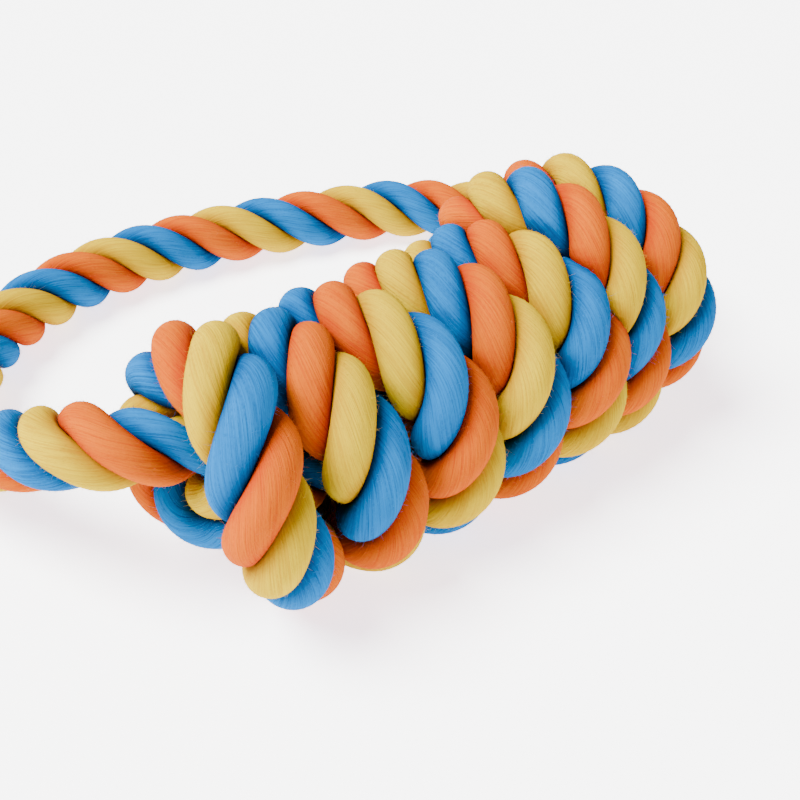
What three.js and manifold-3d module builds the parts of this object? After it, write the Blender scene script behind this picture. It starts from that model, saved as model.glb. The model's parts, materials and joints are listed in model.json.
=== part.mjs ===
// Rope dog toy: one laid cotton rope of three coloured strands, wound round itself into a bar,
// with the free stretch left as a hand loop. Millimetres, +Z up, the bar along X, the loop behind it on +Y.
import * as THREE from 'three';
import { mergeVertices } from 'three/addons/utils/BufferGeometryUtils.js';
import Module from 'manifold-3d';

const wasm = await Module();
wasm.setup();

// Driving dimensions
const ROPE_DIAMETER = 20;
const WRAP_GAP = 0.55;            // left between neighbouring turns of the bar
const STRAND_GAP = 0.5;           // left between the three strands of one rope
const CORE_RADIUS = 12.2;         // the two rope runs inside the bar, squeezed into one round
const CORE_CLEARANCE = 0.4;
const RUN_GAP = 0.4;              // left between the two runs in the core
const MOUTH_GAP = 0.3;            // left where a rope stretch meets the next one, face to face
const TAIL_GAP = 1;               // left between the rope's two cut ends, which meet inside the bar
const CORE_FACET = 5;             // width of the facets of the core's runs
const LOOP_LAY = 38.8;            // rope length in which a strand goes once round, in the slack loop
const LOOP_GRIP = 10;             // length of the loop's ends that stays pinched
const LOOP_SWELL = 50;            // length after that in which the loop swells to full width

// Counts and shares
const STRANDS = ['blue', 'orange', 'yellow'];
const BAR_TURNS = 6.75;           // full turns, from the top of the first one
const END_TURNS = 0.75;           // turns at each end that spiral in to the core
const CROSSINGS = [13.3, 13.15, 12.85, 13.6, 13.35, 14.5, 14.7, 13.9, 14.5]; // strands met along each turn
const FIRST_PHASE = 0.33;         // strand phase at the start of the first full turn's front
const PHASE_SWAY = 0.43;          // strands by which the lay runs ahead on top of a turn and lags under it
const FRONT = 0.125;              // place of that front, in turns from the top
const RINGS_PER_LAY = 6.4;
const TUCK_START = 0.2;           // turns past the last full turn where the end bends in to the core
const TUCK_BEND = 2.5;            // how sharply it bends, in pitches per square turn
const TUCK_SHARE = 0.57;          // share of the core's radius at which the winding's ends go in
const HINGE_SHARE = 0.53;         // share of the core's radius at which the loop's ends go in
const END_PINCH = 0.5;            // share of the rope's width left where the core grips the winding's ends
const LOOP_PINCH = 0.62;          // share of the rope's width left where the core grips the loop's ends
const SWELL_TURNS = 0.2;          // turns of the bar in which a gripped end has swollen to full width
const TURNOVER_SHARE = 0.62;      // share of the core's length in which its two runs change sides

// Sizes that follow
const PITCH = ROPE_DIAMETER;
const TUBE_RADIUS = (ROPE_DIAMETER - WRAP_GAP) / 2;
const WIND_RADIUS = CORE_RADIUS + CORE_CLEARANCE + ROPE_DIAMETER / 2;
const TUCK_RADIUS = TUCK_SHARE * CORE_RADIUS;
const FLAT_DEPTH = ROPE_DIAMETER / 10;
const AXIS_HEIGHT = WIND_RADIUS + TUBE_RADIUS - FLAT_DEPTH;
const FIRST_TOP = -3 * PITCH;     // X of the top of the first full turn
const LOOP_ANGLE = 0.8;           // angle of the first strand where the loop leaves the near end
const LOOP_SIDE = -Math.PI / 4;   // the loop's run lies in the upper rear half of the core
const HINGE_RADIUS = HINGE_SHARE * CORE_RADIUS;

const COLOURS = { blue: 0x0a7bc4, orange: 0xff7a2e, yellow: 0xffcb1f, core: 0xf2b04a };
const ROUGHNESS = 0.9;

function cotton(name) {
  return new THREE.MeshStandardMaterial({ color: COLOURS[name], roughness: ROUGHNESS, metalness: 0 });
}

const smooth = (value) => THREE.MathUtils.smoothstep(value, 0, 1);

// The direction away from the bar's axis, at an angle from the top towards the front
const outward = (angle) => new THREE.Vector3(0, -Math.sin(angle), Math.cos(angle));

// Turns counted from whichever end is nearer: the far end is the near end turned round
const fromEnd = (turn) => Math.min(turn, BAR_TURNS - turn);

// Bulges of the hand-wound turns: turn, width in turns, height
const BULGES = [
  { turn: -0.03, width: 0.3, height: 5 },
  { turn: 4.95, width: 0.35, height: 4.5 },
];

function bulge(turn) {
  let height = 0;
  for (const lump of BULGES) {
    height += lump.height * smooth(1 - Math.abs(turn - lump.turn) / lump.width);
  }
  return height;
}

// Centre line of the winding: a right-handed helix whose two ends spiral in and tuck into the core
function windingPoint(turn) {
  const along = fromEnd(turn);
  const radius = THREE.MathUtils.lerp(TUCK_RADIUS, WIND_RADIUS, smooth(along / END_TURNS + 1)) + bulge(turn);
  const tuck = TUCK_BEND * PITCH * Math.max(0, -along - TUCK_START) ** 2;
  const side = turn < BAR_TURNS / 2 ? 1 : -1;
  const point = outward(2 * Math.PI * turn).multiplyScalar(radius);
  point.x = FIRST_TOP + PITCH * turn + side * tuck;
  point.z += AXIS_HEIGHT;
  return point;
}

// Share of the rope's full width along the winding: its gripped ends swell as they come out of the core
function windingPinch(turn) {
  const swollen = smooth((fromEnd(turn) + END_TURNS) / (END_TURNS + SWELL_TURNS));
  return THREE.MathUtils.lerp(END_PINCH, 1, swollen);
}

// Strand phase along the winding: it gains each turn's crossings between one front and the next
function windingPhase(turn) {
  let phase = FIRST_PHASE - CROSSINGS[0] + PHASE_SWAY * Math.cos(2 * Math.PI * turn);
  let left = turn - FRONT + 1;
  for (const crossings of CROSSINGS.slice(0, -1)) {
    if (left <= 1) {
      return phase + left * crossings;
    }
    phase += crossings;
    left -= 1;
  }
  return phase + left * CROSSINGS.at(-1);
}

// Places along the winding, each with its centre, its two cross directions, its strand angle and its size
function windingStations() {
  const start = -END_TURNS;
  const end = BAR_TURNS + END_TURNS;
  const lays = (windingPhase(end) - windingPhase(start)) / STRANDS.length;
  const count = Math.round(lays * RINGS_PER_LAY);
  const step = 1e-3;              // turns to each side over which the tangent is taken
  const stations = [];
  for (let i = 0; i <= count; i += 1) {
    const turn = THREE.MathUtils.lerp(start, end, i / count);
    const tangent = windingPoint(turn + step).sub(windingPoint(turn - step)).normalize();
    const out = outward(2 * Math.PI * turn);
    out.addScaledVector(tangent, -out.dot(tangent)).normalize();
    stations.push({
      centre: windingPoint(turn),
      out,
      side: new THREE.Vector3().crossVectors(tangent, out),
      angle: 2 * Math.PI * windingPhase(turn) / STRANDS.length,
      radius: TUBE_RADIUS * windingPinch(turn),
    });
  }
  return stations;
}

// Route of the hand loop, from the bar's near end round behind it to the far end
const FLOOR = ROPE_DIAMETER / 2;
const HINGE = outward(LOOP_SIDE).multiplyScalar(HINGE_RADIUS).add(new THREE.Vector3(0, 0, AXIS_HEIGHT));
const NEAR_MOUTH = windingPoint(-END_TURNS).x;
const FAR_MOUTH = windingPoint(BAR_TURNS + END_TURNS).x;
const LOOP_ROUTE = [
  [NEAR_MOUTH, HINGE.y, HINGE.z], [-66, HINGE.y, HINGE.z],
  [-73.5, 6.5, 38.8], [-79.5, 10.5, 42], [-84, 17.5, 42], [-88, 28, 38], [-91.5, 40.8, 31],
  [-94.5, 57.8, 21.5], [-92, 77.8, 13], [-82.5, 96.3, 10.2], [-67.5, 113.3, FLOOR], [-47, 124.8, FLOOR],
  [-23, 130, FLOOR], [1, 128.5, FLOOR], [25, 123, FLOOR], [49, 114, FLOOR], [73, 102.5, FLOOR],
  [89.5, 88, FLOOR], [100.5, 71.5, 10.4],
  [105, 54, 15], [104.5, 37, 22], [100.5, 21, 29.5], [94, 10, 33.8], [85.5, HINGE.y, HINGE.z],
  [FAR_MOUTH, HINGE.y, HINGE.z],
].map(([x, y, z]) => new THREE.Vector3(x, y, z));

function loopStations() {
  const curve = new THREE.CatmullRomCurve3(LOOP_ROUTE, false, 'centripetal');
  const length = curve.getLength();
  const count = Math.round(length / LOOP_LAY * RINGS_PER_LAY);
  const frames = curve.computeFrenetFrames(count, false);
  const stations = [];
  for (let i = 0; i <= count; i += 1) {
    const along = length * i / count;
    const swollen = smooth((Math.min(along, length - along) - LOOP_GRIP) / LOOP_SWELL);
    stations.push({
      centre: curve.getPointAt(i / count),
      out: frames.normals[i],
      side: frames.binormals[i],
      angle: LOOP_ANGLE + 2 * Math.PI * along / LOOP_LAY,
      radius: TUBE_RADIUS * THREE.MathUtils.lerp(LOOP_PINCH, 1, swollen),
    });
  }
  return stations;
}

// Section of one strand: a third of the rope, out to a round crown, in shares of the rope's radius
const FLANK = 0.8;
const SHOULDER = { reach: 0.95, angle: 0.6 };

function strandSection(radius) {
  const apex = STRAND_GAP / Math.sqrt(3);
  const flank = FLANK * radius;
  const flankAngle = Math.PI / 3 - Math.asin(STRAND_GAP / 2 / flank);
  const shoulder = SHOULDER.reach * radius;
  return [
    [apex, 0], [flank, -flankAngle], [shoulder, -SHOULDER.angle],
    [radius, 0], [shoulder, SHOULDER.angle], [flank, flankAngle],
  ];
}

// One strand as a closed solid: a ring of section points at each station, joined, with both ends capped
function strandGeometry(stations, strand) {
  const positions = [];
  const lag = 2 * Math.PI * strand / STRANDS.length;
  for (const { centre, out, side, angle, radius } of stations) {
    for (const [reach, turn] of strandSection(radius)) {
      const point = centre.clone();
      point.addScaledVector(out, reach * Math.cos(angle - lag + turn));
      point.addScaledVector(side, reach * Math.sin(angle - lag + turn));
      positions.push(point.x, point.y, point.z);
    }
  }
  return closedTube(positions, stations.length, strandSection(1).length);
}

// Joins rings of equal size into a closed skin. Faces are split along the strand's own slant, but the
// first side is split the other way, so that the facing flanks of two strands bend alike and keep their gap.
function closedTube(positions, rings, sides) {
  const index = [];
  for (let ring = 0; ring + 1 < rings; ring += 1) {
    for (let side = 0; side < sides; side += 1) {
      const a = ring * sides + side;
      const b = ring * sides + (side + 1) % sides;
      if (side === 0) {
        index.push(a, b, b + sides, a, b + sides, a + sides);
      } else {
        index.push(a, b, a + sides, b, b + sides, a + sides);
      }
    }
  }
  const last = (rings - 1) * sides;
  for (let side = 1; side + 1 < sides; side += 1) {
    index.push(0, side + 1, side, last, last + side, last + side + 1);
  }
  const geometry = new THREE.BufferGeometry();
  geometry.setAttribute('position', new THREE.Float32BufferAttribute(positions, 3));
  geometry.setIndex(index);
  return geometry;
}

function toSolid(geometry) {
  const bare = geometry.clone();
  bare.deleteAttribute('normal');
  bare.deleteAttribute('uv');
  const merged = mergeVertices(bare);
  return new wasm.Manifold(new wasm.Mesh({
    numProp: 3,
    vertProperties: new Float32Array(merged.attributes.position.array),
    triVerts: new Uint32Array(merged.index.array),
  }));
}

function toGeometry(solid) {
  const mesh = solid.getMesh();
  const geometry = new THREE.BufferGeometry();
  geometry.setAttribute('position', new THREE.Float32BufferAttribute(mesh.vertProperties, 3));
  geometry.setIndex(Array.from(mesh.triVerts));
  return geometry;
}

// The bar's underside is cut flat at Z 0, as the soft rope settles on a table
function settle(geometry) {
  const span = 2 * (BAR_TURNS + END_TURNS) * PITCH;
  const floor = new THREE.BoxGeometry(span, span, ROPE_DIAMETER);
  floor.translate(0, 0, -ROPE_DIAMETER / 2);
  return toGeometry(toSolid(geometry).subtract(toSolid(floor)));
}

// A run of rope in the core: half a round, which turns over half way along so that the runs change sides
const CORE_MIDDLE = (NEAR_MOUTH + FAR_MOUTH) / 2;

function coreRun(from, to, startSide) {
  const positions = [];
  const spread = Math.acos(RUN_GAP / 2 / CORE_RADIUS);
  const steps = Math.ceil((to - from) / CORE_FACET);
  const facets = Math.ceil(2 * spread * CORE_RADIUS / CORE_FACET);
  for (let ring = 0; ring <= steps; ring += 1) {
    const x = THREE.MathUtils.lerp(from, to, ring / steps);
    const along = (x - CORE_MIDDLE) / (FAR_MOUTH - NEAR_MOUTH);
    const facing = startSide - Math.PI * smooth(along / TURNOVER_SHARE + 0.5);
    for (let i = 0; i <= facets; i += 1) {
      const angle = facing + THREE.MathUtils.lerp(-spread, spread, i / facets);
      const point = outward(angle).multiplyScalar(CORE_RADIUS);
      positions.push(x, point.y, point.z + AXIS_HEIGHT);
    }
  }
  return closedTube(positions, steps + 1, facets + 1);
}

// Least gap of the winding to itself, measured between points more than half a turn apart
function leastGap(stations) {
  const apart = Math.round(stations.length / (BAR_TURNS + 2 * END_TURNS) / 2);
  let least = Infinity;
  for (let i = 0; i < stations.length; i += 1) {
    for (let j = i + apart; j < stations.length; j += 1) {
      const between = stations[i].centre.distanceTo(stations[j].centre);
      least = Math.min(least, between - stations[i].radius - stations[j].radius);
    }
  }
  return least;
}

const toy = new THREE.Group();
toy.name = 'rope_dog_toy';

function addPiece(name, geometry, colour) {
  const piece = new THREE.Mesh(geometry, cotton(colour));
  piece.name = name;
  toy.add(piece);
}

const winding = windingStations();
console.log(`least gap of the winding to itself: ${leastGap(winding).toFixed(2)} mm`);
const loop = loopStations();
STRANDS.forEach((colour, strand) => {
  addPiece(`${colour}_bar_strand`, settle(strandGeometry(winding, strand)), colour);
  addPiece(`${colour}_loop_strand`, strandGeometry(loop, strand), colour);
});

// The winding's two ends come out of the core at a slant, so the runs behind them stop short for it
const slant = END_PINCH * TUBE_RADIUS;
addPiece('core_feed_run', coreRun(NEAR_MOUTH + slant, FAR_MOUTH - MOUTH_GAP, LOOP_SIDE + Math.PI), 'core');
addPiece('core_loop_tail', coreRun(NEAR_MOUTH + MOUTH_GAP, CORE_MIDDLE - TAIL_GAP / 2, LOOP_SIDE), 'core');
addPiece('core_bar_tail', coreRun(CORE_MIDDLE + TAIL_GAP / 2, FAR_MOUTH - slant, LOOP_SIDE), 'core');

// The origin is under the middle of the whole toy, on the table
const box = new THREE.Box3().setFromObject(toy);
const middle = box.getCenter(new THREE.Vector3());
toy.position.set(-middle.x, -middle.y, -box.min.z);

export default toy;
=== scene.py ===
import json
import math

import bmesh
import bpy
import numpy as np
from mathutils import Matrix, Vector
from mathutils.kdtree import KDTree


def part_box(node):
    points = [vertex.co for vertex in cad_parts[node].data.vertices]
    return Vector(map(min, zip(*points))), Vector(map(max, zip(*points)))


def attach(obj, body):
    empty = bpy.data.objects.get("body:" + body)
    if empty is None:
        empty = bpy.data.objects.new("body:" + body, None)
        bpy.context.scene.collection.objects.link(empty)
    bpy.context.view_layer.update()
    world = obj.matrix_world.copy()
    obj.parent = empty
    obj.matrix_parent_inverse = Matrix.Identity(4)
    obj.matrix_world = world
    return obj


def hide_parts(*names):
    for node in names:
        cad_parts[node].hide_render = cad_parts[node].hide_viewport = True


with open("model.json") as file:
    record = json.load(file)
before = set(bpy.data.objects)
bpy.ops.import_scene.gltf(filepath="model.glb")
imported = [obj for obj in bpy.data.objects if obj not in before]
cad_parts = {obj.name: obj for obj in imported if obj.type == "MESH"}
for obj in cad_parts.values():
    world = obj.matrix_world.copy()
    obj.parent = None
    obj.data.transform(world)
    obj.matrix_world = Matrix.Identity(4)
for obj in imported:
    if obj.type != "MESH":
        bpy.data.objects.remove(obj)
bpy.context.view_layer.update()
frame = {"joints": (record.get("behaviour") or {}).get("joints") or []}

# Camera
# Stands about 0.3 m from the bar, in front of its near end and above it, and looks along it, so that the
# near turns look larger than the far ones.
CAMERA_PLACE = Vector((-0.1732, -0.2362, 0.2069))
CAMERA_AIM = Vector((-0.0180, -0.0558, 0.0308))
CAMERA_LENS = 56.3
CAMERA_SENSOR = 36
CAMERA_NEAREST = 0.01

camera = bpy.data.objects.new("camera", bpy.data.cameras.new("camera"))
camera.data.lens = CAMERA_LENS
camera.data.sensor_width = CAMERA_SENSOR
camera.data.clip_start = CAMERA_NEAREST
camera.location = CAMERA_PLACE
camera.rotation_euler = (CAMERA_AIM - CAMERA_PLACE).to_track_quat("-Z", "Y").to_euler()
bpy.context.scene.collection.objects.link(camera)
bpy.context.scene.camera = camera

# Course of the bar's winding
# The rope is wound by hand, in close right-handed turns, round its own two ends, which run inside the bar.
# Each end of the winding spirals in and goes into that core.
STRANDS = ["blue", "orange", "yellow"]
ROPE_DIAMETER = 0.020
ROPE_REACH = 0.0105               # from the rope's middle to a strand's crown, soft and slightly swollen
PITCH = ROPE_DIAMETER
CORE_RADIUS = 0.0122
CORE_CLEARANCE = 0.0004
WIND_RADIUS = CORE_RADIUS + CORE_CLEARANCE + ROPE_DIAMETER / 2
TUCK_RADIUS = 0.57 * CORE_RADIUS
BAR_TURNS = 6.75
END_TURNS = 0.75
TUCK_START = 0.2
TUCK_BEND = 2.5
FIRST_TOP = -3 * PITCH            # along the bar, from its place to the top of the first turn
END_PINCH = 0.88                  # share of the rope's width where the core grips it
SWELL_TURNS = 0.05
CROSSINGS = [13.3, 13.43, 12.87, 13.6, 13.2, 14.37, 14.4, 14.2, 14.5]   # strands met along each turn
FIRST_PHASE = 0.33
END_CROSSING = 0.0135             # rope length from strand to strand in the spirals at the ends
FRONT = 0.125                     # part of a turn from its top to where its strands are counted
PHASE_SWAY = 0.43                 # strands by which the lay tightens and opens as the rope goes round
PHASE_PUSH, PUSH_TURN, PUSH_WIDTH = 0.25, 0.35, 0.3      # the strands crowd low on the first turn
SAG, SAG_TURN, SAG_WIDTH = 0.0025, 0.4, 0.2              # the turns spread where they lie
SAG_FROM = 0.2                    # turns from either end before the sag begins
SHOVES = [                        # off the even winding: turn, width in turns, way out, way along the bar
    (-0.8, 0.3, 0, 0.010),
    (-0.5, 0.25, -0.005, 0.004),
    (-0.05, 0.3, 0.005, 0.003),
    (0.22, 0.34, -0.0005, -0.0095),
    (0.42, 0.25, 0, 0.004),
    (1.15, 0.3, 0, -0.0025),
    (1.92, 0.25, 0, -0.004),
    (2.17, 0.25, 0.0015, 0.0015),
    (2.78, 0.25, 0, -0.002),
    (3.17, 0.25, 0.002, 0.003),
    (4.17, 0.25, 0.0025, 0.004),
    (4.93, 0.32, 0.0085, -0.002),
    (5.84, 0.3, 0.0085, -0.005),
    (6.1, 0.25, -0.0005, 0.0005),
    (6.42, 0.25, -0.003, -0.004),
    (7.0, 0.45, -0.009, -0.012),
]
RING_STEP = 0.0008                # rope length from one ring of a strand to the next


def smooth(value):
    value = np.clip(value, 0, 1)
    return value * value * (3 - 2 * value)


def unit(vectors):
    return vectors / np.linalg.norm(vectors, axis=-1, keepdims=True)


def length_along(points):
    """Length of a line of points from its start to each of them."""
    steps = np.linalg.norm(np.diff(points, axis=0), axis=1)
    return np.concatenate([[0], np.cumsum(steps)])


def outward(angle):
    """Away from the bar's axis, from the top towards the front."""
    return np.stack([0 * angle, -np.sin(angle), np.cos(angle)], axis=-1)


def winding_centre(turn):
    along = np.minimum(turn, BAR_TURNS - turn)
    radius = TUCK_RADIUS + (WIND_RADIUS - TUCK_RADIUS) * smooth(along / END_TURNS + 1)
    from_low = np.abs((turn - SAG_TURN + 0.5) % 1 - 0.5)
    radius = radius + SAG * smooth(1 - from_low / SAG_WIDTH) * smooth((along - SAG_FROM) / END_TURNS)
    tuck = TUCK_BEND * PITCH * np.maximum(0, -along - TUCK_START) ** 2
    x = FIRST_TOP + PITCH * turn + np.where(turn < BAR_TURNS / 2, tuck, -tuck)
    for top, width, way_out, way_along in SHOVES:
        share = smooth(1 - np.abs(turn - top) / width)
        radius = radius + way_out * share
        x = x + way_along * share
    centre = radius[:, None] * outward(2 * np.pi * turn)
    centre[:, 0] = x
    return centre


def winding_phase(turn):
    """Strands met from the winding's start: counted on the turns, by the rope's length on the spirals."""
    fronts = FRONT - 1 + np.arange(len(CROSSINGS) + 1)
    phases = FIRST_PHASE - CROSSINGS[0] + np.concatenate([[0], np.cumsum(CROSSINGS)])
    phase = np.interp(turn, fronts, phases) + PHASE_SWAY * np.cos(2 * np.pi * turn)
    phase = phase + PHASE_PUSH * smooth(1 - np.abs(turn - PUSH_TURN) / PUSH_WIDTH)
    crossings = length_along(winding_centre(turn)) / END_CROSSING
    first, last = np.searchsorted(turn, (0, BAR_TURNS))
    phase[:first] = phase[first] + crossings[:first] - crossings[first]
    phase[last:] = phase[last] + crossings[last:] - crossings[last]
    return phase


# The frame's core shows where the bar lies: its run starts behind the slant of the winding's first end
CORE_SLANT = 0.0048625
END_TUCK = TUCK_BEND * PITCH * (END_TURNS - TUCK_START) ** 2
NEAR_MOUTH = FIRST_TOP - PITCH * END_TURNS + END_TUCK
FAR_MOUTH = FIRST_TOP + PITCH * (BAR_TURNS + END_TURNS) - END_TUCK
core_low, core_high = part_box("core_feed_run")
BAR_PLACE = np.array([
    core_low.x - NEAR_MOUTH - CORE_SLANT,
    (core_low.y + core_high.y) / 2,
    (core_low.z + core_high.z) / 2,
])


def course_of(centre, out, angle, reach):
    """A rope's course: its middle, the two directions across it, its strands' angle and its reach."""
    along = unit(np.gradient(centre, axis=0))
    out = unit(out - (out * along).sum(1, keepdims=True) * along)
    return {"centre": centre, "out": out, "side": np.cross(along, out), "angle": angle, "reach": reach}


def winding_course():
    turn_length = math.hypot(2 * math.pi * WIND_RADIUS, PITCH)
    count = round((BAR_TURNS + 2 * END_TURNS) * turn_length / RING_STEP)
    turn = np.linspace(-END_TURNS, BAR_TURNS + END_TURNS, count)
    along = np.minimum(turn, BAR_TURNS - turn)
    pinch = END_PINCH + (1 - END_PINCH) * smooth((along + END_TURNS) / (END_TURNS + SWELL_TURNS))
    angle = 2 * np.pi * winding_phase(turn) / len(STRANDS)
    return course_of(winding_centre(turn) + BAR_PLACE, outward(2 * np.pi * turn), angle, ROPE_REACH * pinch)


# Course of the hand loop
# The free stretch of the same rope, slack enough for a hand. It leaves the bar's near end high up at the
# back, comes down to the table behind the bar and goes back in at the far end.
LOOP_LAY = 0.0388
LOOSE_FROM, LOOSE_SHARE = 0.23, 0.09                     # the lay opens on the far side
LOOP_ANGLE = 0.8                  # of the first strand where the loop leaves the bar
LOOP_OUT = np.array([0, 0, -1.0])                        # the way that this angle starts from
LOOP_REACH = 0.0094               # the free rope is stretched a little thinner than the wound rope
LOOP_PINCH = 0.8
LOOP_GRIP = 0.006
LOOP_SWELL = 0.020
LOOP_FLOOR = ROPE_DIAMETER / 2
SPAN_POINTS = 60
hinge = frame["joints"][0]["pos_m"]
HINGE_Y, HINGE_Z = hinge[1] - BAR_PLACE[1], hinge[2]
NEAR_LIFT = 0.003                 # the loop leaves the near end a little above its hinge
LOOP_ROUTE = np.array([
    (NEAR_MOUTH, HINGE_Y, HINGE_Z + NEAR_LIFT), (-0.066, 0.005, 0.0395),
    (-0.073, 0.007, 0.0418), (-0.079, 0.011, 0.0428), (-0.084, 0.018, 0.042), (-0.088, 0.028, 0.037),
    (-0.0915, 0.0408, 0.0305), (-0.0945, 0.0578, 0.0215), (-0.092, 0.0778, 0.013),
    (-0.0825, 0.0963, 0.0102), (-0.0675, 0.1133, LOOP_FLOOR), (-0.047, 0.1248, LOOP_FLOOR),
    (-0.023, 0.130, LOOP_FLOOR), (0.001, 0.1285, LOOP_FLOOR), (0.025, 0.123, LOOP_FLOOR),
    (0.049, 0.114, LOOP_FLOOR), (0.073, 0.1025, LOOP_FLOOR), (0.0895, 0.088, LOOP_FLOOR),
    (0.1005, 0.0715, 0.0104), (0.1045, 0.054, 0.0125), (0.1035, 0.037, 0.017), (0.0995, 0.021, 0.0235),
    (0.093, 0.010, 0.029), (0.0845, HINGE_Y, 0.032), (FAR_MOUTH, HINGE_Y, HINGE_Z),
]) + np.array([BAR_PLACE[0], BAR_PLACE[1], 0])


def curve_through(points, step):
    """A smooth curve through the points, as points at equal steps: a centripetal Catmull-Rom curve."""
    before_first = 2 * points[0] - points[1]
    after_last = 2 * points[-1] - points[-2]
    points = np.concatenate([[before_first], points, [after_last]])
    share = np.linspace(0, 1, SPAN_POINTS, endpoint=False)[:, None]
    spans = []
    for before, start, end, after in zip(points, points[1:], points[2:], points[3:]):
        first, middle, last = (math.sqrt(np.linalg.norm(b - a)) for a, b in
                               ((before, start), (start, end), (end, after)))
        leave = (start - before) / first - (end - before) / (first + middle) + (end - start) / middle
        leave = middle * leave
        enter = (end - start) / middle - (after - start) / (middle + last) + (after - end) / last
        enter = middle * enter
        bend = 2 * start - 2 * end + leave + enter
        swing = 3 * (end - start) - 2 * leave - enter
        spans.append(start + share * (leave + share * (swing + share * bend)))
    fine = np.concatenate(spans + [points[-2:-1]])
    along = length_along(fine)
    even = np.linspace(0, along[-1], round(along[-1] / step) + 1)
    return np.stack([np.interp(even, along, fine[:, axis]) for axis in range(3)], axis=1), even


def carried(centre, out):
    """A direction across the curve, carried along it without turning about it."""
    along = unit(np.gradient(centre, axis=0))
    directions = []
    for way in along:
        out = out - out.dot(way) * way
        out = out / np.linalg.norm(out)
        directions.append(out)
    return np.array(directions)


def loop_course():
    centre, along = curve_through(LOOP_ROUTE, RING_STEP)
    laid = along - LOOSE_SHARE * np.maximum(along - LOOSE_FROM, 0)
    angle = LOOP_ANGLE + 2 * np.pi * laid / LOOP_LAY
    swollen = smooth((np.minimum(along, along[-1] - along) - LOOP_GRIP) / LOOP_SWELL)
    reach = LOOP_REACH * (LOOP_PINCH + (1 - LOOP_PINCH) * swollen)
    return course_of(centre, carried(centre, LOOP_OUT), angle, reach)


# Courses of the rope inside the bar
# Two runs lie side by side in the core and change sides half way: one brings the rope from the far end
# back to the near end, where the winding starts, and the other holds the rope's two cut ends.
CORE_SIDE = -math.pi / 4
CORE_OFFSET = 0.53 * CORE_RADIUS
CORE_REACH = 0.0082
CORE_LAY = 0.034
CORE_STEP = 0.0014
TURNOVER_SHARE = 0.62             # share of the core's length over which the runs change sides
TAIL_GAP = 0.001


def core_course(start, end, start_side):
    x = np.linspace(start, end, round(abs(end - start) / CORE_STEP))
    along = (x - (NEAR_MOUTH + FAR_MOUTH) / 2) / (FAR_MOUTH - NEAR_MOUTH)
    facing = start_side - math.pi * smooth(along / TURNOVER_SHARE + 0.5)
    centre = CORE_OFFSET * outward(facing)
    centre[:, 0] = x
    angle = 2 * np.pi * x / CORE_LAY * np.sign(end - start)
    return course_of(centre + BAR_PLACE, outward(facing), angle, np.full(len(x), CORE_REACH))


core_middle = (NEAR_MOUTH + FAR_MOUTH) / 2
courses = {
    "core_loop_tail": core_course(core_middle - TAIL_GAP / 2, NEAR_MOUTH, CORE_SIDE),
    "loop": loop_course(),
    "core_feed_run": core_course(FAR_MOUTH, NEAR_MOUTH + CORE_SLANT, CORE_SIDE + math.pi),
    "bar": winding_course(),
    "core_bar_tail": core_course(FAR_MOUTH - CORE_SLANT, core_middle + TAIL_GAP / 2, CORE_SIDE),
}

# Strands of the rope
# Three plump strands of spun cotton laid right-handed round each other. They are soft, so each one is
# pressed flat where it meets its neighbours, the next turn of the rope or the table.
STRAND_PLACE = 0.52               # share of the rope's reach at which a strand's middle line lies
STRAND_SIDES = 36
CORE_SIDES = 18
CONTACT_GAP = 0.00004             # left between strands that press on each other
PRESS_SOFTNESS = 0.0004
PRESS_STEPS = 8
PRESS_SHARE = 0.5                 # part of the way to its room that the skin moves at each step
NEIGHBOUR_REACH = 0.0115
OWN_LENGTH = 0.020                # a strand isn't its own neighbour over this length of rope
OUT_OF_REACH = 1.0                # stands for the place of a neighbour that isn't there
FLOOR_GAP = 0.0002
LEAST_SLOPE = 0.001               # a direction as level as this never meets the table
LUMP_LENGTHS = [0.071, 0.043, 0.027]
LUMP_HEIGHT = 0.012               # share by which a strand swells and thins along its length
# Width over which the crease mask falls off from a contact; the cotton paints shade by it near contacts and
# a highlight away from them.
CREASE_DEPTH = 0.0016
FIBRE_TWIST = 195                 # radians per metre of strand by which the fibres go round it
DRAWS_SEED = 20

draws = np.random.default_rng(DRAWS_SEED)


def strand_lines():
    """Every strand's middle line, the way its crown faces, its full radius and its place along the rope."""
    lines = {}
    start = 0
    for course_number, (name, course) in enumerate(courses.items()):
        along = start + length_along(course["centre"])
        start = along[-1]
        for number, colour in enumerate(STRANDS):
            angle = (course["angle"] - 2 * np.pi * number / len(STRANDS))[:, None]
            crown = np.cos(angle) * course["out"] + np.sin(angle) * course["side"]
            lumps = sum(np.sin(2 * np.pi * (along / length + draws.random())) for length in LUMP_LENGTHS)
            reach = course["reach"]
            lines[name, colour] = {
                "middle": course["centre"] + STRAND_PLACE * reach[:, None] * crown,
                "crown": crown,
                "full": (1 - STRAND_PLACE) * reach * (1 + LUMP_HEIGHT * lumps),
                "along": along,
                "course": np.full(len(along), course_number),
                "strand": np.full(len(along), number),
            }
    return lines


lines = strand_lines()
everywhere = {key: np.concatenate([line[key] for line in lines.values()])
              for key in ("middle", "along", "course", "strand")}
middle_tree = KDTree(len(everywhere["middle"]))
for number, place in enumerate(everywhere["middle"]):
    middle_tree.insert(place, number)
middle_tree.balance()


def neighbours(line):
    """For each ring of a strand, the points near it of the middle lines that can press on it."""
    found = []
    for middle, place, course, strand in zip(line["middle"], line["along"], line["course"], line["strand"]):
        near = np.array([number for _, number, _ in middle_tree.find_range(middle, NEIGHBOUR_REACH)])
        beside = (everywhere["course"][near] == course) & (everywhere["strand"][near] != strand)
        found.append(near[beside | (np.abs(everywhere["along"][near] - place) > OWN_LENGTH)])
    points = np.full((len(found), max(map(len, found)), 3), OUT_OF_REACH)
    for ring, near in enumerate(found):
        points[ring, :len(near)] = everywhere["middle"][near]
    return points


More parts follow.
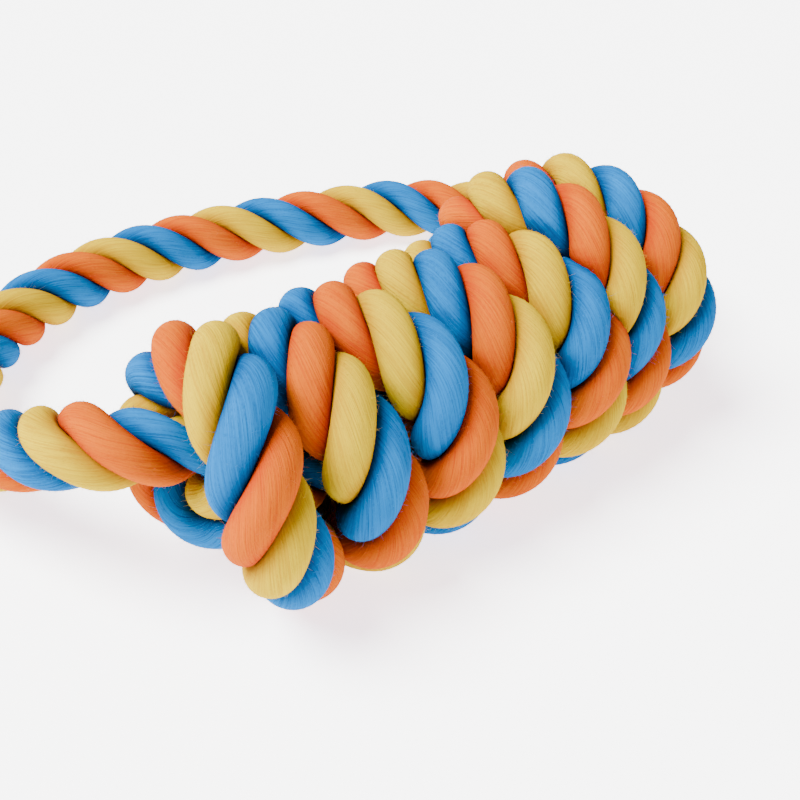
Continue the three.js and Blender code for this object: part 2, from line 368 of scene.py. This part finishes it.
def room_at(points, others):
    """Distance from each ring point to the nearest neighbouring middle line."""
    squares = (points ** 2).sum(2)[:, :, None] + (others ** 2).sum(2)[:, None, :]
    squares -= 2 * points @ others.transpose(0, 2, 1)
    return np.sqrt(np.maximum(squares.min(2), 0))


def soft_least(*values):
    return -PRESS_SOFTNESS * np.log(sum(np.exp(-value / PRESS_SOFTNESS) for value in values))


def ring_directions(line, way, round_angle):
    """The ways out from a strand's middle line, all round it at each ring, from its crown on."""
    crown = unit(line["crown"] - (line["crown"] * way).sum(1, keepdims=True) * way)
    flank = np.cross(way, crown)
    return (np.cos(round_angle)[None, :, None] * crown[:, None]
            + np.sin(round_angle)[None, :, None] * flank[:, None])


def fibre_places(line, round_angle):
    """Where each ring point would lie if the strand were straight and its fibres ran along it."""
    length = length_along(line["middle"])[:, None]
    angle = round_angle + FIBRE_TWIST * length
    radius = line["full"].mean()
    lengthwise = np.repeat(length, len(round_angle), axis=1)
    return np.stack([radius * np.cos(angle), radius * np.sin(angle), lengthwise], axis=2)


def pressed_strand(key, sides):
    """The skin of one strand as rings of points, with the creases, by which its material paints shade and
    highlight, and the fibres that its material shows.
    """
    line = lines[key]
    middle, full = line["middle"], line["full"][:, None]
    way = unit(np.gradient(middle, axis=0))
    round_angle = np.linspace(0, 2 * np.pi, sides, endpoint=False)
    directions = ring_directions(line, way, round_angle)
    others = neighbours(line)
    floor_room = (middle[:, 2:] - FLOOR_GAP) / np.maximum(-directions[:, :, 2], LEAST_SLOPE)
    reach = np.repeat(full, sides, axis=1)
    for _ in range(PRESS_STEPS):
        room = room_at(middle[:, None] + reach[:, :, None] * directions, others) - CONTACT_GAP / 2
        reach += PRESS_SHARE * (soft_least(full, room, floor_room) - reach)
    return {
        "skin": middle[:, None] + reach[:, :, None] * directions,
        "out": directions,
        "way": way,
        "crease": np.exp(-np.maximum(room - reach, 0) / CREASE_DEPTH),
        "fibre": fibre_places(line, round_angle),
    }


def rolled_up(mesh, strand, material_index):
    """Adds a strand to the mesh: a flat grid, rolled up so that its rows are the strand's rings."""
    rings, sides = strand["crease"].shape
    sheet = bmesh.ops.create_grid(mesh, x_segments=sides, y_segments=rings - 1, size=1)["verts"]
    fibre_layer = mesh.verts.layers.float_vector["fibre"]
    crease_layer = mesh.verts.layers.float["crease"]
    targets = {}
    for number, vert in enumerate(sheet):
        ring, side = divmod(number, sides + 1)
        vert.co = strand["skin"][ring, side % sides]
        vert[fibre_layer] = strand["fibre"][ring, side % sides]
        vert[crease_layer] = strand["crease"][ring, side % sides]
        if side == sides:
            targets[vert] = sheet[number - sides]
    for face in {face for vert in sheet for face in vert.link_faces}:
        face.material_index = material_index
        face.smooth = True
    bmesh.ops.weld_verts(mesh, targetmap=targets)


def strand_object(name, strands):
    """A piece of one or more strands, each a tube with closed ends."""
    mesh = bmesh.new()
    mesh.verts.layers.float_vector.new("fibre")
    mesh.verts.layers.float.new("crease")
    for index, strand in enumerate(strands):
        rolled_up(mesh, strand, index)
    bmesh.ops.holes_fill(mesh, edges=[edge for edge in mesh.edges if edge.is_boundary], sides=0)
    bmesh.ops.recalc_face_normals(mesh, faces=mesh.faces)
    data = bpy.data.meshes.new(name)
    mesh.to_mesh(data)
    mesh.free()
    piece = bpy.data.objects.new(name, data)
    bpy.context.scene.collection.objects.link(piece)
    return piece


# Cotton of the strands
# Carded cotton spun into soft yarn and dyed in one bright colour a strand. Its fine fibres lie nearly along
# the rope. The colour is painted paler on each strand's crown, a painted highlight, and painted deeper where
# two strands press together, a painted shade.
# For each dye: its own colour; a paler colour, which paints a highlight on the crowns and also gives the
# paler fibres, patches and hairs; and a deeper colour, which paints shade in the creases and also gives the
# dark fibres.
COTTON_COLOURS = {
    "blue": {"Colour": (0, 0.055, 0.180), "Highlight_and_pale_fibre": (0, 0.135, 0.375), "Shade_and_dark_fibre": (0, 0.022, 0.090)},
    "orange": {"Colour": (0.330, 0.042, 0), "Highlight_and_pale_fibre": (0.460, 0.095, 0), "Shade_and_dark_fibre": (0.290, 0.015, 0)},
    "yellow": {"Colour": (0.320, 0.185, 0), "Highlight_and_pale_fibre": (0.490, 0.340, 0), "Shade_and_dark_fibre": (0.300, 0.125, 0)},
}
COTTON_ROUGHNESS = 0.88
COTTON_GLOSS = 0.02
FINE_FIBRES = {"across": 3000, "lengthwise": 130, "detail": 2}   # cells of the noise in a metre
YARNS = {"across": 1200, "lengthwise": 60, "detail": 2}
PATCHES = {"across": 150, "lengthwise": 90, "detail": 1}
NOISE_ROUGHNESS = 0.6
# The crown range paints a highlight: it makes a strand paler where nothing presses on it.
PAINTED_CROWN_HIGHLIGHT = (0.3, 0.03, 0, 0.4)  # each range: two of a mask's values, then the shares that they give
FINE_PALE = (0.4, 0.8, 0, 0.5)
PATCH_PALE = (0.4, 0.7, 0, 0.25)
# The crease range paints shade: it deepens the colour where strands press together.
PAINTED_CREASE_SHADE = (0.08, 0.9, 0, 0.9)
FINE_DEEP = (0.5, 0.25, 0, 0.45)
NOISE_HEIGHT = (0, 1, 0, 0.6)
BUMP_STRENGTH = 0.9
BUMP_HEIGHT = 0.0004
RANGE_SOCKETS = ("From Min", "From Max", "To Min", "To Max")
MIX_FIRST, MIX_SECOND, MIX_RESULT = 6, 7, 2              # the colour sockets of a Mix node


def cotton_fibres():
    """Node group: colour and height of spun cotton, from the fibre and crease attributes of a strand, with
    painted highlight on the crowns and painted shade in the creases.
    """
    group = bpy.data.node_groups.new("cotton_fibres", "ShaderNodeTree")
    for name in ("Colour", "Highlight_and_pale_fibre", "Shade_and_dark_fibre"):
        group.interface.new_socket(name, in_out="INPUT", socket_type="NodeSocketColor")
    group.interface.new_socket("Colour", in_out="OUTPUT", socket_type="NodeSocketColor")
    group.interface.new_socket("Height", in_out="OUTPUT", socket_type="NodeSocketFloat")
    nodes, links = group.nodes, group.links
    given = nodes.new("NodeGroupInput")
    result = nodes.new("NodeGroupOutput")
    fibre = nodes.new("ShaderNodeAttribute")
    fibre.attribute_name = "fibre"
    crease = nodes.new("ShaderNodeAttribute")
    crease.attribute_name = "crease"

    def fibre_noise(across, lengthwise, detail):
        mapping = nodes.new("ShaderNodeMapping")
        mapping.inputs["Scale"].default_value = (across, across, lengthwise)
        noise = nodes.new("ShaderNodeTexNoise")
        noise.inputs["Scale"].default_value = 1
        noise.inputs["Detail"].default_value = detail
        noise.inputs["Roughness"].default_value = NOISE_ROUGHNESS
        links.new(fibre.outputs["Vector"], mapping.inputs["Vector"])
        links.new(mapping.outputs["Vector"], noise.inputs["Vector"])
        return noise.outputs["Fac"]

    def ranged(value, span):
        spread = nodes.new("ShaderNodeMapRange")
        for name, number in zip(RANGE_SOCKETS, span):
            spread.inputs[name].default_value = number
        links.new(value, spread.inputs["Value"])
        return spread.outputs["Result"]

    def mixed(share, first, second):
        mix = nodes.new("ShaderNodeMix")
        mix.data_type = "RGBA"
        links.new(share, mix.inputs["Factor"])
        links.new(first, mix.inputs[MIX_FIRST])
        links.new(second, mix.inputs[MIX_SECOND])
        return mix.outputs[MIX_RESULT]

    def added(first, second):
        add = nodes.new("ShaderNodeMath")
        add.operation = "ADD"
        links.new(first, add.inputs[0])
        links.new(second, add.inputs[1])
        return add.outputs["Value"]

    fine = fibre_noise(**FINE_FIBRES)
    yarns = fibre_noise(**YARNS)
    patches = fibre_noise(**PATCHES)
    # Painted highlight: where nothing presses on a strand, its crown is mixed towards the paler colour.
    crown = ranged(crease.outputs["Fac"], PAINTED_CROWN_HIGHLIGHT)
    light = added(crown, added(ranged(fine, FINE_PALE), ranged(patches, PATCH_PALE)))
    colour = mixed(light, given.outputs["Colour"], given.outputs["Highlight_and_pale_fibre"])
    # Painted shade: where strands press together, the colour is mixed towards the deeper colour; the fine
    # fibres add dark streaks of their own.
    shade = added(ranged(crease.outputs["Fac"], PAINTED_CREASE_SHADE), ranged(fine, FINE_DEEP))
    colour = mixed(shade, colour, given.outputs["Shade_and_dark_fibre"])
    links.new(colour, result.inputs["Colour"])
    links.new(added(ranged(fine, NOISE_HEIGHT), ranged(yarns, NOISE_HEIGHT)), result.inputs["Height"])
    return group


cotton_group = cotton_fibres()


def cotton_material(colour):
    material = bpy.data.materials.new(f"{colour}_cotton")
    material.use_nodes = True
    nodes, links = material.node_tree.nodes, material.node_tree.links
    shader = nodes["Principled BSDF"]
    shader.inputs["Roughness"].default_value = COTTON_ROUGHNESS
    shader.inputs["Specular IOR Level"].default_value = COTTON_GLOSS
    fibres = nodes.new("ShaderNodeGroup")
    fibres.node_tree = cotton_group
    for name, dye in COTTON_COLOURS[colour].items():
        fibres.inputs[name].default_value = (*dye, 1)
    bump = nodes.new("ShaderNodeBump")
    bump.inputs["Strength"].default_value = BUMP_STRENGTH
    bump.inputs["Distance"].default_value = BUMP_HEIGHT
    links.new(fibres.outputs["Colour"], shader.inputs["Base Color"])
    links.new(fibres.outputs["Height"], bump.inputs["Height"])
    links.new(bump.outputs["Normal"], shader.inputs["Normal"])
    return material


cottons = {colour: cotton_material(colour) for colour in STRANDS}

# Fuzz
# Loose ends of the cotton's fibres, up to about a millimetre and a half long and finer than a hair. They
# stand off the strands wherever nothing presses on them, and belong to the strand that they come out of.
FUZZ_WIDTH = 0.00005
FUZZ_LENGTHS = (0.0004, 0.0015)
FUZZ_OPEN = 0.4                   # hairs stand only where a strand isn't pressed on as much as this
FUZZ_POINTS = 3
FUZZ_TIP = 0.25                   # share of a hair's width at its tip
FUZZ_END_RINGS = 2                # rings without hairs at a strand's ends
FUZZ_RISE, FUZZ_SWAY, FUZZ_STRAY, FUZZ_CURL = 0.55, 0.5, 0.35, 0.6   # weights of a hair's directions
FUZZ_ROUGHNESS = 0.9
FUZZ_GLOSS = 0.2
FUZZ_SPECKS = 900
FUZZ_WHITE = 0.04                 # white in the palest hairs
FUZZ_PALE = 1.1                   # how much paler those are than the strand


def hairs_on(strand, count):
    """Short curved hairs on the open parts of a strand, each a few points."""
    rings, sides = strand["crease"].shape
    ring = draws.integers(FUZZ_END_RINGS, rings - FUZZ_END_RINGS, count)
    side = draws.integers(0, sides, count)
    open_air = strand["crease"][ring, side] < FUZZ_OPEN
    ring, side = ring[open_air], side[open_air]
    sway = draws.normal(0, FUZZ_SWAY, (len(ring), 1))
    stray = draws.normal(0, FUZZ_STRAY, (len(ring), 3))
    lean = unit(FUZZ_RISE * strand["out"][ring, side] + sway * strand["way"][ring] + stray)
    curl = draws.normal(0, FUZZ_CURL, (len(ring), 3))
    length = draws.uniform(*FUZZ_LENGTHS, (len(ring), 1)) * draws.random((len(ring), 1))
    share = np.linspace(0, 1, FUZZ_POINTS)[None, :, None]
    hairs = share * lean[:, None] + share ** 2 * curl[:, None]
    hairs = strand["skin"][ring, side][:, None] + length[:, None] * hairs
    hairs[:, :, 2] = np.maximum(hairs[:, :, 2], FLOOR_GAP)
    return hairs


def fuzz_object(name, strand, count):
    """The hairs of a strand as thin tapered ribbons."""
    curve = bpy.data.curves.new(name, "CURVE")
    curve.dimensions = "3D"
    curve.extrude = FUZZ_WIDTH / 2
    weights = np.ones((FUZZ_POINTS, 1))
    taper = np.linspace(1, FUZZ_TIP, FUZZ_POINTS)
    for hair in hairs_on(strand, count):
        spline = curve.splines.new("POLY")
        spline.points.add(FUZZ_POINTS - 1)
        spline.points.foreach_set("co", np.concatenate([hair, weights], axis=1).ravel())
        spline.points.foreach_set("radius", taper)
    drawn = bpy.data.objects.new(name, curve)
    bpy.context.scene.collection.objects.link(drawn)
    bpy.context.view_layer.update()
    data = bpy.data.meshes.new_from_object(drawn.evaluated_get(bpy.context.evaluated_depsgraph_get()))
    bpy.data.objects.remove(drawn)
    piece = bpy.data.objects.new(name, data)
    bpy.context.scene.collection.objects.link(piece)
    return piece


def fuzz_material(colour):
    material = bpy.data.materials.new(f"{colour}_fuzz")
    material.use_nodes = True
    nodes, links = material.node_tree.nodes, material.node_tree.links
    shader = nodes["Principled BSDF"]
    shader.inputs["Roughness"].default_value = FUZZ_ROUGHNESS
    shader.inputs["Specular IOR Level"].default_value = FUZZ_GLOSS
    place = nodes.new("ShaderNodeTexCoord")
    noise = nodes.new("ShaderNodeTexNoise")
    noise.inputs["Scale"].default_value = FUZZ_SPECKS
    palest = [FUZZ_WHITE + FUZZ_PALE * part for part in COTTON_COLOURS[colour]["Highlight_and_pale_fibre"]]
    mix = nodes.new("ShaderNodeMix")
    mix.data_type = "RGBA"
    mix.inputs[MIX_FIRST].default_value = (*COTTON_COLOURS[colour]["Colour"], 1)
    mix.inputs[MIX_SECOND].default_value = (*palest, 1)
    links.new(place.outputs["Object"], noise.inputs["Vector"])
    links.new(noise.outputs["Fac"], mix.inputs["Factor"])
    links.new(mix.outputs[MIX_RESULT], shader.inputs["Base Color"])
    return material


fuzzes = {colour: fuzz_material(colour) for colour in STRANDS}

# Hand loop
# The free stretch of the rope, of three strands of cotton. The bar's turns grip both its ends, and it swings
# about the line through them, so it rides on a body of its own.
LOOP_FUZZ = 24000                 # places on a strand where a hair is tried


def dressed_strand(stretch, colour, body, hairs):
    """A strand of the loop or of the bar, and its fuzz."""
    strand = pressed_strand((stretch, colour), STRAND_SIDES)
    piece = strand_object(f"{colour}_{stretch}_rope", [strand])
    piece.data.materials.append(cottons[colour])
    fuzz = fuzz_object(f"{colour}_{stretch}_fuzz", strand, hairs)
    fuzz.data.materials.append(fuzzes[colour])
    for part in (piece, fuzz):
        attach(part, body)
    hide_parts(f"{colour}_{stretch}_strand")
    return piece, fuzz


for colour in STRANDS:
    piece, fuzz = dressed_strand("loop", colour, "hand_loop", LOOP_FUZZ)

# Bar
# The same three strands of cotton, wound tight by hand, with each turn pressed against the next. Nothing but
# the rope's own grip holds the turns in place.
BAR_FUZZ = 70000

for colour in STRANDS:
    dressed_strand("bar", colour, "bar", BAR_FUZZ)

# Core
# The rope's two runs inside the bar, of the same cotton, squeezed and held by the turns round them. They are
# seen only between those, so they have fewer sides and no fuzz.
for node in ("core_feed_run", "core_loop_tail", "core_bar_tail"):
    strands = [pressed_strand((node, colour), CORE_SIDES) for colour in STRANDS]
    piece = strand_object(f"{node}_rope", strands)
    for colour in STRANDS:
        piece.data.materials.append(cottons[colour])
    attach(piece, "bar")
    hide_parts(node)

# Floor and light
# A white light table, lit from within, under one broad soft light from above, behind and to the left. The
# table's glow is faintly pink, so it shows as white under that light and pink in the shade.
FLOOR_REACH = 20                  # from the table's middle to its sides
FLOOR_COLOUR = (0.88, 0.98, 0.92)
FLOOR_ROUGHNESS = 0.6
FLOOR_GLOW = (1.0, 0.86, 0.95)
GLOW_STRENGTH = 3
KEY_WAY = Vector((0.45, -0.25, -0.85))
KEY_SPREAD = math.radians(35)
KEY_STRENGTH = 15
ROOM_COLOUR = (1.0, 1.0, 1.0)
ROOM_BRIGHTNESS = 0.45
BACKDROP_BRIGHTNESS = 7.0         # what is seen beyond the table

mesh = bmesh.new()
bmesh.ops.create_grid(mesh, x_segments=1, y_segments=1, size=FLOOR_REACH)
floor = bpy.data.objects.new("floor", bpy.data.meshes.new("floor"))
mesh.to_mesh(floor.data)
mesh.free()
bpy.context.scene.collection.objects.link(floor)
table = bpy.data.materials.new("white_table")
table.use_nodes = True
shader = table.node_tree.nodes["Principled BSDF"]
shader.inputs["Base Color"].default_value = (*FLOOR_COLOUR, 1)
shader.inputs["Roughness"].default_value = FLOOR_ROUGHNESS
shader.inputs["Emission Color"].default_value = (*FLOOR_GLOW, 1)
shader.inputs["Emission Strength"].default_value = GLOW_STRENGTH
floor.data.materials.append(table)

key = bpy.data.objects.new("key", bpy.data.lights.new("key", "SUN"))
key.data.angle = KEY_SPREAD
key.data.energy = KEY_STRENGTH
key.rotation_euler = KEY_WAY.to_track_quat("-Z", "Y").to_euler()
bpy.context.scene.collection.objects.link(key)

room = bpy.data.worlds.new("room")
room.use_nodes = True
walls = room.node_tree.nodes["Background"]
walls.inputs["Color"].default_value = (*ROOM_COLOUR, 1)
light_path = room.node_tree.nodes.new("ShaderNodeLightPath")
brightness = room.node_tree.nodes.new("ShaderNodeMapRange")
brightness.inputs["To Min"].default_value = ROOM_BRIGHTNESS
brightness.inputs["To Max"].default_value = BACKDROP_BRIGHTNESS
room.node_tree.links.new(light_path.outputs["Is Camera Ray"], brightness.inputs["Value"])
room.node_tree.links.new(brightness.outputs["Result"], walls.inputs["Strength"])
bpy.context.scene.world = room
